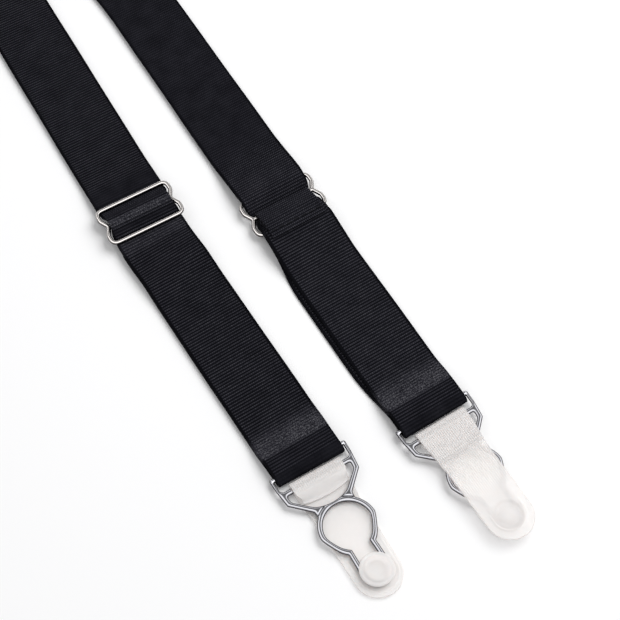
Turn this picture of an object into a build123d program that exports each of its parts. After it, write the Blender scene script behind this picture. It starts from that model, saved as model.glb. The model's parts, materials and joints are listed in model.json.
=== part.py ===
"""Y-shaped elastic suspenders: two front straps that meet in a sewn patch, and one back strap.

Every strap ends in a garter clip: a stamped metal frame with a keyhole, and a clear plastic tab whose
button pulls down into the keyhole's narrow end. Each front strap runs through a wire slider, round the
clip's top bar, and back up to the slider's centre bar, where its end is folded and sewn.

+Y runs along the straps from the front clips to the back clip, +Z is up from the table they lie on.
"""
from build123d import *
from math import atan, cos, degrees, hypot, radians, sin
import os

# ---- driving dimensions, mm -------------------------------------------------------------------
# elastic webbing
strap_width = 25.0
strap_thick = 0.9
layer_pitch = 0.95             # one layer of webbing above the next
turn_width = 23.8              # the webbing drawn in where it crosses the slider
clip_turn_width = 24.4         # and in a clip's slot
turn_centre = 0.1              # the fold round a clip's top bar: its middle from the bar
turn_reach = 2.25              # and how far it reaches past that middle
turn_leg = 1.8
sewn_width = 21.2              # the webbing squeezed between the slider's waists

# wire slider
wire_radius = 0.75
rail_offset = 7.0              # from the centre bar to each rail
lobe_half_width = 13.4         # all three on the wire's centre line
waist_half_width = 11.7
lobe_shoulder = 3.2
lobe_corner_radius = 2.4
lobe_shoulder_radius = 2.0
waist_radius = 1.6

# heights of the webbing from the slider's wire plane, towards the face
run_drop = 1.35                # the running layer, under the rails
back_drop = 2.4                # the returning layer
tail_drop = 3.4                # the sewn tail
crossing_rise = 2.25           # the running layer, over the centre bar
crossing_half = 9.1            # how far the crossing piece reaches each side of the bar
loop_start = 9.75              # where the two layers below the slider begin
run_under_rail = 6.6           # the running layer starts to climb here
climb_half = (3.4, 0.95)       # a point on the climb: from the bar, and up
crest_half = 1.2               # half the flat top over the bar
wrap_radius = 1.25             # the returning layer's middle line round the centre bar
wrap_start = 119.7             # degrees from up the strap towards the face
wrap_end = -68.0
back_under_rail = 6.3          # the returning layer starts to climb here
tail_bend = 5.0                # the sewn tail levels out here

# stitching
thread_thick = 0.2
thread_width = 0.45
stitch_length = 2.2
stitch_pitch = 2.9
stitches_across = 7
seam_inset = 2.2               # the seam's distance from the sewn end
patch_stitch_length = 2.3
patch_stitch_pitch = 3.4
patch_stitch_inset = 2.0

# garter clip, measured down from the centre of its top bar
plate_half = 0.6               # half the stamped frame's thickness
bar_radius = 0.8
bar_drop = 1.35                # from the bar to the middle of the webbing each side of it
slot_half_width = 12.65
frame_half_width = 13.9
middle_bar = 5.9
ring_centre = 25.0
ring_inner = 7.6
ring_outer = 9.4
neck_inner = 3.2
neck_outer = 5.15
neck_start = 31.0              # where the ring opens into the neck
side_foot = (13.1, -9.7)       # the side limbs bend in here
ring_join = (6.9, -15.7)       # the lower limbs meet the ring here
button_seat = 41.5
window_half_width = 11.6
window_side = (11.3, -9.0)     # the window narrows from here
window_foot = (5.4, -14.0)     # and its rounded foot starts here
window_depth = 15.5
tab_face = 0.8                 # from the frame's middle plane back to the tab's face
tab_thick = 1.2
band_inner = 1.2
band_thick = 0.8
flap_thick = 0.6
band_half_width = 9.3
flap_half_width = 8.3
strip_start = 16.2
strip_end = 34.0
tab_neck = 20.0                # the tab narrows down to here
tab_tip_radius = 8.0
tab_tip_centre = 42.0
shank_radius = 2.9
head_radius = 5.25
head_low = 0.8
head_rim = 0.6
head_dome = 1.2

# the straps' layout on the table
flat_level = 1.4               # middle of the webbing between the sliders and the patch
slide_up = 80.0                # travel of each slider towards the patch
slide_spare = 10.0             # straight strap left past the end of that travel
patch_x = -2.0
patch_low = 226.0
patch_high = 268.0
patch_thick = 0.9
patch_low_half = 28.5
patch_high_half = 16.0
patch_shoulder = 12.0
patch_corner_radius = 4.0
strap_end_y = 244.0
back_start_y = 247.0
back_bar_y = 331.0
back_clip_level = 2.05
back_tail = 24.0
clear = 0.05                   # gap between pieces that touch in reality

front_arms = {
    "left": {
        "x": -28.3, "y": 62.0, "slope": 0.0725, "loop_slope": 0.031, "loop": 107.7,
        "tail": 22.0, "side": 1, "clip_turn": -1.5, "level": 4.1, "clip_level": 2.05,
        "settle": (23.5, 34.0), "rise_end": 22.0, "route": [(-18.0, 198.0)], "end_x": -15.4,
    },
    "right": {
        "x": 14.4, "y": 38.0, "slope": 0.0468, "loop_slope": 0.040, "loop": 92.1,
        "tail": 11.5, "side": -1, "clip_turn": 0.9, "level": 2.75, "clip_level": 2.65,
        "settle": (9.8, 26.0), "rise_end": 26.0, "route": [(19.2, 152.0), (16.6, 194.0)],
        "end_x": 11.4,
    },
}


# ---- helpers ----------------------------------------------------------------------------------
def ribbon(points, thick, width):
    """Webbing whose middle line is a list of (y, z) points, with its width across X."""
    left, right = [], []
    for i, (y, z) in enumerate(points):
        y0, z0 = points[max(i - 1, 0)]
        y1, z1 = points[min(i + 1, len(points) - 1)]
        before = hypot(y - y0, z - z0) or 1.0
        after = hypot(y1 - y, z1 - z) or 1.0
        ty = (y - y0) / before + (y1 - y) / after
        tz = (z - z0) / before + (z1 - z) / after
        size = hypot(ty, tz)
        ny, nz = -tz / size, ty / size
        both_sides = 2.0 if 0 < i < len(points) - 1 else 1.0
        stretch = min(both_sides / size, 1.3)
        left.append((y + ny * thick / 2 * stretch, z + nz * thick / 2 * stretch))
        right.append((y - ny * thick / 2 * stretch, z - nz * thick / 2 * stretch))
    outline = Polyline(*left, *reversed(right), close=True)
    section = Plane.YZ * make_face(outline)
    return extrude(section, amount=width / 2, both=True)


def arc(centre_y, centre_z, radius_y, radius_z, start, end, steps):
    """Points along an elliptical arc in (y, z), angles in degrees from +Y towards +Z."""
    turns = [radians(start + (end - start) * i / steps) for i in range(steps + 1)]
    return [(centre_y + radius_y * cos(a), centre_z + radius_z * sin(a)) for a in turns]


def flat_strap(points, start_slope, end_slope, level):
    """A flat strap whose middle line is a smooth curve in plan through the points."""
    middle = Spline(
        *points, tangents=[(start_slope, 1), (end_slope, 1)]
    )
    stations = [i / 12 for i in range(13)]
    left, right = [], []
    for t in stations:
        at = middle @ t
        along = middle % t
        left.append((at.X - along.Y * strap_width / 2, at.Y + along.X * strap_width / 2))
        right.append((at.X + along.Y * strap_width / 2, at.Y - along.X * strap_width / 2))
    outline = [
        Spline(*left),
        Line(left[-1], right[-1]),
        Spline(*reversed(right)),
        Line(right[0], left[0]),
    ]
    face = make_face(outline)
    return Pos(0, 0, level - strap_thick / 2) * extrude(face, amount=strap_thick)


def mirrored(points):
    """A closed outline from its right half, listed from top to bottom."""
    return points + [(-x, y) for x, y in reversed(points) if x > 0]


def slab(sketch, low, high):
    """A sketch in plan made solid between two heights."""
    return Pos(0, 0, low) * extrude(sketch, amount=high - low)


# ---- wire slider, on its own wire plane -------------------------------------------------------
def slider_frame():
    corner = [
        (lobe_half_width, rail_offset),
        (lobe_half_width, lobe_shoulder),
        (waist_half_width, 0),
        (lobe_half_width, -lobe_shoulder),
        (lobe_half_width, -rail_offset),
    ]
    corners = corner + [(-x, y) for x, y in reversed(corner)]
    half_radii = [
        lobe_corner_radius, lobe_shoulder_radius, waist_radius, lobe_shoulder_radius, lobe_corner_radius
    ]
    path = FilletPolyline(*corners, radius=2 * half_radii, close=True)
    section = Plane(path @ 0, z_dir=path % 0) * Circle(wire_radius)
    return sweep(section, path=path)


def slider_bar():
    half = waist_half_width
    bar = Pos(-half, 0, 0) * Rot(0, 90, 0) * Cylinder(
        wire_radius, 2 * half, align=(Align.CENTER, Align.CENTER, Align.MIN)
    )
    return bar - slider_frame()


# ---- garter clip, origin at the middle of its top bar, face up --------------------------------
def clip_frame():
    upper = mirrored([
        (frame_half_width, 0.9),
        (frame_half_width - 0.15, -4.0),
        side_foot,
        ring_join,
        (6.5, -18.4),
    ])
    plate = make_face(Polyline(*upper, close=True))
    plate = fillet(plate.vertices().filter_by(lambda v: v.Y > -12 and v.Y < -5), 1.8)
    plate = fillet(plate.vertices().filter_by(lambda v: v.Y > 0), 0.7)
    plate += Pos(0, -ring_centre) * Circle(ring_outer)
    arms_length = button_seat - neck_start
    plate += Pos(0, -neck_start - arms_length / 2) * Rectangle(2 * neck_outer, arms_length)
    plate += Pos(0, -button_seat) * Circle(neck_outer)

    slot_bottom = middle_bar - 0.9
    slot = Pos(0, -slot_bottom / 2 + 1.5) * Rectangle(2 * slot_half_width, slot_bottom + 3.0)
    slot = fillet(slot.vertices().group_by(Axis.Y)[0], 0.8)
    top = -middle_bar - 0.9
    window = make_face([
        Line(window_foot, window_side),
        Line(window_side, (window_half_width, top)),
        Line((window_half_width, top), (-window_half_width, top)),
        Line((-window_half_width, top), (-window_side[0], window_side[1])),
        Line((-window_side[0], window_side[1]), (-window_foot[0], window_foot[1])),
        ThreePointArc((-window_foot[0], window_foot[1]), (0, -window_depth), window_foot),
    ])
    window = fillet(window.vertices().filter_by(lambda v: v.Y > -10), 0.8)
    keyhole = Pos(0, -ring_centre) * Circle(ring_inner)
    keyhole += Pos(0, -neck_start - arms_length / 2) * Rectangle(2 * neck_inner, arms_length + 2.0)
    keyhole += Pos(0, -button_seat) * Circle(neck_inner)
    frame = slab(plate - slot - window - keyhole, -plate_half, plate_half)
    frame += Rot(0, 90, 0) * Cylinder(bar_radius, 2 * slot_half_width + 1.2)
    return frame


def tab_half_width(depth):
    """Half the tab's width at a depth below the top bar."""
    if depth < tab_neck:
        return 9.3 - (depth - 8.0) * 0.09
    return 8.2 - (depth - tab_neck) * 0.009


def tab_plan(start, end):
    right = [(tab_half_width(d), -d) for d in (start, end)]
    if start < tab_neck < end:
        right.insert(1, (tab_half_width(tab_neck), -tab_neck))
    return make_face(Polyline(*mirrored(right), close=True))


def tab_band():
    """The ribbed end of the tab: wrapped round the middle bar and welded to itself."""
    hinge = (-middle_bar, 0)
    low = -band_inner - band_thick
    wrap = Pos(0, *hinge) * Rot(0, 90, 0) * (
        Cylinder(band_inner + band_thick, 2 * band_half_width)
        - Cylinder(band_inner, 2 * band_half_width)
    )
    plate = slab(tab_plan(middle_bar + 1.3, strip_start - 0.1), low, low + band_thick)
    plate -= Pos(0, *hinge) * Rot(0, 90, 0) * Cylinder(band_inner, 2 * band_half_width)
    flap = ribbon(
        [(-middle_bar, 1.6), (-middle_bar - 5.6, -1.0), (-middle_bar - 6.6, -1.1)],
        flap_thick, 2 * flap_half_width,
    )
    return wrap + plate + flap


def tab_strip():
    low = -tab_face - tab_thick
    return slab(tab_plan(strip_start, strip_end), low, -tab_face)


def tab_end():
    low = -tab_face - tab_thick
    plan = tab_plan(strip_end + 0.1, tab_tip_centre)
    plan += Pos(0, -tab_tip_centre) * Circle(tab_tip_radius)
    return slab(plan, low, -tab_face)


def button():
    seated = (Align.CENTER, Align.CENTER, Align.MIN)
    rim_top = head_low + head_rim
    dome_radius = (head_radius ** 2 + head_dome ** 2) / (2 * head_dome)
    shank = Pos(0, 0, -tab_face) * Cylinder(shank_radius, tab_face + head_low + 0.1, align=seated)
    head = Pos(0, 0, head_low) * Cylinder(head_radius, head_rim + head_dome, align=seated)
    head &= Pos(0, 0, rim_top + head_dome - dome_radius) * Sphere(dome_radius)
    return Pos(0, -button_seat, 0) * (shank + head)


def clip_parts(prefix, place):
    makers = {
        "clip_frame": clip_frame, "tab_band": tab_band, "tab_strip": tab_strip,
        "tab_end": tab_end, "button": button,
    }
    return {f"{prefix}_{name}": place * make() for name, make in makers.items()}


# ---- stitching --------------------------------------------------------------------------------
def seam_row(count, level):
    """A row of threads across a strap, centred on the origin."""
    first = -stitch_pitch * (count - 1) / 2
    row = [
        Pos(first + i * stitch_pitch, 0, level) * Box(stitch_length, thread_width, thread_thick)
        for i in range(count)
    ]
    return Compound(children=row)


# ---- a front arm ------------------------------------------------------------------------------
def arm_angle(slope):
    return -degrees(atan(slope))


def slider_place(arm):
    """Where the slider's centre bar lies."""
    return Pos(arm["x"], arm["y"], 0) * Rot(0, 0, arm_angle(arm["slope"]))


def loop_place(arm):
    """The loop's own frame: its origin under the slider's centre, its Y up the strap."""
    return Pos(arm["x"], arm["y"], 0) * Rot(0, 0, arm_angle(arm["loop_slope"]))


def clip_place(arm):
    """The clip's frame, turned over where the arm is."""
    flip = Rot(0, 180 if arm["side"] < 0 else 0, 0)
    at_bar = loop_place(arm) * Pos(0, -arm["loop"], arm["clip_level"])
    return at_bar * Rot(0, 0, arm["clip_turn"]) * flip


def crossing_points(arm):
    """The running layer where it goes under the rails and over the centre bar."""
    level, side = arm["level"], arm["side"]
    half = [
        (crossing_half, -run_drop), (run_under_rail, -run_drop), climb_half, (crest_half, crossing_rise)
    ]
    points = half + [(-y, z) for y, z in reversed(half)]
    return [(y, level + side * z) for y, z in points]


def sewn_points(arm):
    """The returning layer: over the centre bar's face side, round it, and down as the tail."""
    level, side, tail = arm["level"], arm["side"], arm["tail"]
    wrap = arc(0, 0, wrap_radius, wrap_radius, wrap_start, wrap_end, 11)
    start, end = arm["settle"]
    points = [(-crossing_half, -back_drop), (-back_under_rail, -back_drop)]
    points += wrap
    points.append((-tail_bend, -tail_drop))
    if tail > start:
        fall = (back_level(arm, start) - back_level(arm, end)) / (end - start)
        points += [(-start, -tail_drop), (-tail, -tail_drop - side * fall * (tail - start))]
    else:
        points.append((-tail, -tail_drop))
    return [(y, level + side * z) for y, z in points]


def run_level(arm, distance):
    """Height of the running layer's middle at a distance below the slider's bar."""
    rest = strap_thick / 2 + clear + (layer_pitch if arm["side"] > 0 else 0.0)
    return arm["level"] - arm["side"] * run_drop if distance <= arm["settle"][0] else rest


def back_level(arm, distance):
    """The same for the returning layer."""
    rest = strap_thick / 2 + clear + (layer_pitch if arm["side"] < 0 else 0.0)
    return arm["level"] - arm["side"] * back_drop if distance <= arm["settle"][0] else rest


def layer_points(arm, level_at, clip_side):
    """A loop layer's middle line, from below the slider to the clip's turn."""
    start, end = arm["settle"]
    loop = arm["loop"]
    near = loop_start
    at_clip = arm["clip_level"] + clip_side * bar_drop
    points = [(-near, level_at(arm, start))]
    if start > near + 1:
        points.append((-start, level_at(arm, start)))
    points.append((-end, level_at(arm, end)))
    points.append((-(loop - 16.0), level_at(arm, end)))
    points.append((-(loop - 5.0), at_clip))
    points.append((-(loop - 2.3), at_clip))
    return points


def turn_points():
    """The webbing's fold round the clip's top bar, in the clip's frame."""
    fold = arc(turn_centre, 0, turn_reach, bar_drop, 90.0, 270.0, 12)
    return [(turn_leg, bar_drop)] + fold + [(turn_leg, -bar_drop)]


def front_arm(name, arm):
    side = arm["side"]
    level = arm["level"]
    at_slider = slider_place(arm)
    at_loop = loop_place(arm)
    parts = {}
    parts["slider_frame"] = at_slider * Pos(0, 0, level) * slider_frame()
    parts["slider_bar"] = at_slider * Pos(0, 0, level) * slider_bar()
    parts["strap_crossing"] = at_slider * ribbon(
        crossing_points(arm), strap_thick, turn_width
    )
    parts["sewn_end"] = at_slider * ribbon(sewn_points(arm), strap_thick, sewn_width)
    seam_y = -(arm["tail"] - seam_inset)
    seam_z = level - side * (tail_drop + strap_thick / 2 + thread_thick / 2)
    parts["seam"] = at_slider * Pos(0, seam_y, 0) * seam_row(stitches_across, seam_z)
    run = layer_points(arm, run_level, side)
    back = layer_points(arm, back_level, -side)
    parts["front_run"] = at_loop * ribbon(run, strap_thick, strap_width)
    parts["back_run"] = at_loop * ribbon(back, strap_thick, strap_width)
    parts["clip_turn"] = clip_place(arm) * ribbon(
        turn_points(), strap_thick, clip_turn_width
    )

    run_at_rail = level - side * run_drop
    reach = slide_up + slide_spare
    slide_points = [
        (crossing_half + clear, run_at_rail), (crossing_half + 1.5, run_at_rail),
        (arm["rise_end"], flat_level), (reach, flat_level),
    ]
    parts["sliding_run"] = at_slider * ribbon(slide_points, strap_thick, strap_width)
    start = at_slider * Pos(0, reach + clear, 0)
    first = (start.position.X, start.position.Y)
    route = [first] + arm["route"] + [(arm["end_x"], strap_end_y)]
    lead = (route[-1][0] - route[-2][0]) / (route[-1][1] - route[-2][1])
    parts["upper_strap"] = flat_strap(route, arm["slope"], lead, flat_level)
    named = {f"{name}_{part}": shape for part, shape in parts.items()}
    named.update(clip_parts(name, clip_place(arm)))
    return named


# ---- the back strap and the patch -------------------------------------------------------------
def back_place():
    """The back clip's frame: its tab points along +Y."""
    return Pos(patch_x, back_bar_y, back_clip_level) * Rot(0, 0, 180)


def back_arm():
    length = back_bar_y - back_start_y
    run = flat_level - back_clip_level
    tail = strap_thick / 2 + thread_thick + clear - back_clip_level
    fold = arc(turn_centre, 0, turn_reach, bar_drop, 90.0, 270.0, 12)
    over_tail = tail + layer_pitch + clear
    wide = [(length, run), (back_tail + 12.0, run), (back_tail + 2.0, over_tail), (13.0, over_tail)]
    turn = [(13.5, over_tail), (13.0, over_tail), (4.5, bar_drop), (1.5, bar_drop)]
    turn += fold
    turn += [(1.5, -bar_drop), (back_tail, tail)]
    strap = ribbon(wide, strap_thick, strap_width) + ribbon(
        turn, strap_thick, clip_turn_width
    )
    seam_level = tail - strap_thick / 2 - thread_thick / 2
    seam = Pos(0, back_tail - seam_inset, 0) * seam_row(stitches_across, seam_level)
    parts = {"back_strap": back_place() * strap, "back_seam": back_place() * seam}
    parts.update(clip_parts("back", back_place()))
    return parts


def patch_sketch(inset):
    low, high = patch_low + inset, patch_high - inset
    right = [
        (patch_high_half - inset, high),
        (patch_low_half - inset, patch_low + patch_shoulder),
        (patch_low_half - inset, low),
    ]
    outline = make_face(Polyline(*mirrored(right), close=True))
    return Pos(patch_x, 0) * fillet(outline.vertices(), patch_corner_radius - inset)


def patch_stitches():
    """Threads along the patch's edge, a little way in from it."""
    edge = patch_sketch(patch_stitch_inset).wires()[0]
    count = int(edge.length / patch_stitch_pitch)
    top = flat_level + layer_pitch / 2 + patch_thick + thread_thick / 2
    threads = []
    for i in range(count):
        along = edge % (i / count)
        at = edge @ (i / count)
        turn = Vector(1, 0, 0).get_signed_angle(Vector(along.X, along.Y, 0))
        thread = Box(patch_stitch_length, thread_width, thread_thick)
        threads.append(Pos(at.X, at.Y, top) * Rot(0, 0, turn) * thread)
    return Compound(children=threads)


def patch_parts():
    sketch = patch_sketch(0.0)
    gap = layer_pitch / 2
    return {
        "patch_back": slab(sketch, flat_level - gap - patch_thick, flat_level - gap),
        "patch_front": slab(sketch, flat_level + gap, flat_level + gap + patch_thick),
        "patch_stitches": patch_stitches(),
    }


# ---- all of it, with the origin under the middle of the whole ---------------------------------
def all_parts():
    parts = {}
    for name, arm in front_arms.items():
        parts.update(front_arm(name, arm))
    parts.update(back_arm())
    parts.update(patch_parts())
    return parts


nodes = all_parts()
boxes = [shape.bounding_box() for shape in nodes.values()]
middle_x = (min(b.min.X for b in boxes) + max(b.max.X for b in boxes)) / 2
middle_y = (min(b.min.Y for b in boxes) + max(b.max.Y for b in boxes)) / 2
lowest = min(b.min.Z for b in boxes)
to_origin = Pos(-middle_x, -middle_y, -lowest)

os.makedirs("parts", exist_ok=True)
for node, shape in nodes.items():
    export_step(to_origin * shape, f"parts/{node}.step")
print(len(nodes), "nodes, origin moved by", to_origin.position)
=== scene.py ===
"""The looks of the suspenders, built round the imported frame.

Pieces are worked out in millimetres in the frame of the slider or clip that they belong to, and
come out in metres in the row's own frame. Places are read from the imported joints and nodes.
"""
import json
import math
from functools import reduce

import bmesh
import bpy
import numpy as np
from mathutils import Matrix, Vector
from mathutils.kdtree import KDTree

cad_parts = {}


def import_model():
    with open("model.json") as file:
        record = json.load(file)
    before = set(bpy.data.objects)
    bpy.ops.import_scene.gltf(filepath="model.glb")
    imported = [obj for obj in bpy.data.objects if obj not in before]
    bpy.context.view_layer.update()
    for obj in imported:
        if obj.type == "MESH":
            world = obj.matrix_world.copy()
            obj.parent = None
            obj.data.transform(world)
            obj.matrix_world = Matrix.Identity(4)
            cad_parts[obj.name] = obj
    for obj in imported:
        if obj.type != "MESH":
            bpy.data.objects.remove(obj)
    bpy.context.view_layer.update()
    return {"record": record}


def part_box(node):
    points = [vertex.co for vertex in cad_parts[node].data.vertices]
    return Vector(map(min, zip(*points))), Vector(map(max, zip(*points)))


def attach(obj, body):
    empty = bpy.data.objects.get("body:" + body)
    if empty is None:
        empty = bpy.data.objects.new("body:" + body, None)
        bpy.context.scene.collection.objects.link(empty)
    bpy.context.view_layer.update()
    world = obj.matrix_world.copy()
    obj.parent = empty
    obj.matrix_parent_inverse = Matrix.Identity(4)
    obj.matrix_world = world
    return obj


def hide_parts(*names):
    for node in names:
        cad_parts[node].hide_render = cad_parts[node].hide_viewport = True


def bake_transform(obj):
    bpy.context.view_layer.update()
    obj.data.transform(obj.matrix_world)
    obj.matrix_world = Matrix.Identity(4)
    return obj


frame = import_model()

MM = 0.001
TURN = 2 * math.pi
JOINTS = {j["name"]: j for j in frame["record"]["behaviour"]["joints"]}

# ---- dimensions, mm
# webbing
STRAP_WIDTH = 25.0
STRAP_HALF = 0.45
LAYER_PITCH = 0.95
BAR_WIDTH = 23.2
RAIL_WIDTH = 24.7
CLIP_TURN_WIDTH = 24.4
SEWN_WIDTH = 21.2
RIB_PITCH = 1.03
RIB_DEPTH = 0.17
ROWS_PER_RIB = 6
STATION = RIB_PITCH / ROWS_PER_RIB
KNOT_PITCH = 0.72
PLAIN_EDGE = 1.0
TABLE_GAP = 0.03
FLAT_LEVEL = 1.375
# places across the band as shares of its half width; it is ribbed inside RIBBED, round outside RIM
SECTION = (-1.0, -0.988, -0.964, -0.92, -0.7, -0.35, 0.0, 0.35, 0.7, 0.92, 0.964, 0.988, 1.0)
RIBBED, RIM = 0.921, 0.964

# heights of the webbing from the slider's wire plane, towards the face
RUN_DROP = 1.35
BACK_DROP = 2.4
TAIL_DROP = 3.4
CROSSING = ((9.1, -1.35), (6.6, -1.35), (3.7, 0.3), (2.4, 1.2), (1.2, 2.25))
WRAP_RADIUS = 1.3
HAND_OVER = 9.15

# slider
WIRE = 1.5
RAIL_OFFSET = 7.0
LOBE_HALF = 13.4
LOBE_SHOULDER = 3.2
WAIST_HALF = 11.7
WIRE_BENDS = (2.4, 2.0, 1.6, 2.0, 2.4)

# clip, measured down from its top bar
TOP_BAR = 1.6
BAR_DROP = 1.35
MIDDLE_BAR, MIDDLE_BAR_HALF = 5.9, 0.9
RING_CENTRE = 24.7
RING_INNER, RING_OUTER = 8.0, 9.75
FRAME_HALF = 13.9
SLOT_HALF, SLOT_CORNER = 12.7, 0.8
SIDE_FOOT = (13.1, -9.7)
RING_JOIN = (6.9, -15.7)
RING_JOIN_HALF = 6.75
WINDOW = ((11.6, -6.8), (11.35, -9.2), (5.9, -14.2))
WINDOW_DEPTH = 15.5
NECK_INNER, NECK_OUTER = 3.45, 5.15
PLATE_HALF, PLATE_RIM, PLATE_SHOULDER = 0.6, 0.14, 1.25
FRAME_GRID = 0.16
CREASE, CREASE_WIDTH = 0.22, 0.28
FOLD_CENTRE = 0.1
FOLD_REACH = 2.55

# tab and button, measured down from the clip's top bar
BUTTON_SEAT = 41.5
TAB_FACE, TAB_BACK = -0.8, -1.86
TAB_NECK = 20.0
TIP_CENTRE, TIP_RADIUS = 42.0, 8.0
TAB_EDGE = 0.4
WRAP_HALF, WRAP_EDGE = 9.3, 0.35
STRIP_START, STRIP_END = 16.2, 34.0
TAB_RIB, TAB_RIB_HEIGHT = 0.7, 0.11
WELD_ROWS = (14.5, 15.8)
FLAP = ((-12.5, -0.78), (-11.5, -0.64), (-9.4, 0.40), (-7.6, 1.22))
BUTTON = ((2.9, -0.95), (2.9, 0.35), (3.05, 0.62), (3.5, 0.78), (5.0, 0.80), (5.5, 0.88),
          (5.7, 1.05), (5.65, 1.25), (5.3, 1.40), (4.75, 1.48), (4.35, 1.62), (4.05, 1.85),
          (3.5, 2.13), (2.5, 2.40), (1.3, 2.55), (0.5, 2.6))

# patch, in the drawing's own frame, which the back clip places
PATCH_X = -2.0
BACK_BAR_Y = 331.0
PATCH_LOW, PATCH_HIGH = 226.0, 268.0
PATCH_LOW_HALF, PATCH_HIGH_HALF = 28.5, 16.0
PATCH_SHOULDER = 12.0
PATCH_CORNER = 4.0
PATCH_THICK, PATCH_EDGE = 0.9, 0.4
STRAP_END_Y = 244.0
BACK_START_Y = 247.0
BACK_TAIL = 24.0
SLIDE_REACH = 90.0

# stitches
THREAD = 0.19
SEAM_THREADS, SEAM_PITCH, SEAM_STITCH = 7, 2.9, 2.25
SEAM_INSET = 2.2
PATCH_PITCH, PATCH_STITCH = 3.4, 2.4

# each arm's last entry is a painted satin sheen laid evenly over its webbing
ARMS = {
    "left": {"side": 1, "tail": 22.0, "settle": (23.5, 34.0), "rise_end": 22.0, "seed": 3.0,
             "route": [(-18.0, 198.0)], "end_x": -15.4, "drift": 0.0, "even_painted_sheen": 0.0},
    "right": {"side": -1, "tail": 11.5, "settle": (9.8, 26.0), "rise_end": 26.0, "seed": 11.0,
              "route": [(19.2, 152.0), (16.6, 194.0)], "end_x": 11.4, "drift": -1.7,
              "even_painted_sheen": 0.14},
}


# ---- nodes
class Nodes:
    """A node tree with short calls: values that are sockets are linked, and others are set."""

    def __init__(self, owner, surface):
        owner.use_nodes = True
        self.owner, self.tree = owner, owner.node_tree
        self.surface = self.tree.nodes[surface]

    def put(self, socket, value):
        if isinstance(value, bpy.types.NodeSocket):
            self.tree.links.new(value, socket)
        else:
            socket.default_value = value

    def node(self, kind, inputs=None, out=0, **settings):
        made = self.tree.nodes.new("ShaderNode" + kind)
        for key, value in settings.items():
            setattr(made, key, value)
        for key, value in (inputs or {}).items():
            self.put(made.inputs[key], value)
        return made.outputs[out]

    def math(self, operation, a, b=0.0):
        return self.node("Math", {0: a, 1: b}, operation=operation)

    def add(self, *terms):
        return reduce(lambda a, b: self.math("ADD", a, b), terms)

    def mul(self, *factors):
        return reduce(lambda a, b: self.math("MULTIPLY", a, b), factors)

    def sub(self, a, b):
        return self.math("SUBTRACT", a, b)

    def arches(self, x):
        """0 at each whole number and 1 half way between them."""
        return self.math("ABSOLUTE", self.math("SINE", self.mul(x, math.pi)))

    def mix(self, factor, a, b, **settings):
        """Two colours mixed, each a socket or red, green and blue."""
        a, b = (c if isinstance(c, bpy.types.NodeSocket) else (*c, 1) for c in (a, b))
        return self.node("MixRGB", {0: factor, 1: a, 2: b}, **settings)

    def ramp(self, factor, stops):
        """A colour ramp, its stops grey levels or colours."""
        made = self.tree.nodes.new("ShaderNodeValToRGB")
        self.put(made.inputs[0], factor)
        elements = made.color_ramp.elements
        elements[0].position, elements[1].position = stops[0][0], stops[-1][0]
        for at, _ in stops[1:-1]:
            elements.new(at)
        for element, (_, value) in zip(elements, stops):
            element.color = (*value, 1) if isinstance(value, tuple) else (value, value, value, 1)
        return made.outputs[0]

    def noise(self, vector, scale, detail=3.0, rough=0.5):
        return self.node("TexNoise", {"Vector": vector, "Scale": scale, "Detail": detail,
                                      "Roughness": rough})

    def split(self, vector):
        return self.node("SeparateXYZ", {0: vector}, out=slice(None))

    def attribute(self, name, out="Fac"):
        return self.node("Attribute", attribute_name=name, out=out)

    def object_space(self):
        return self.node("TexCoord", out="Object")

    def bump(self, height, distance, strength):
        return self.node("Bump", {"Height": height, "Distance": distance, "Strength": strength})

    def finish(self, **inputs):
        for key, value in inputs.items():
            self.put(self.surface.inputs[key.replace("_", " ")], value)
        return self.owner


def shader(name):
    return Nodes(bpy.data.materials.new(name), "Principled BSDF")


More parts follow.
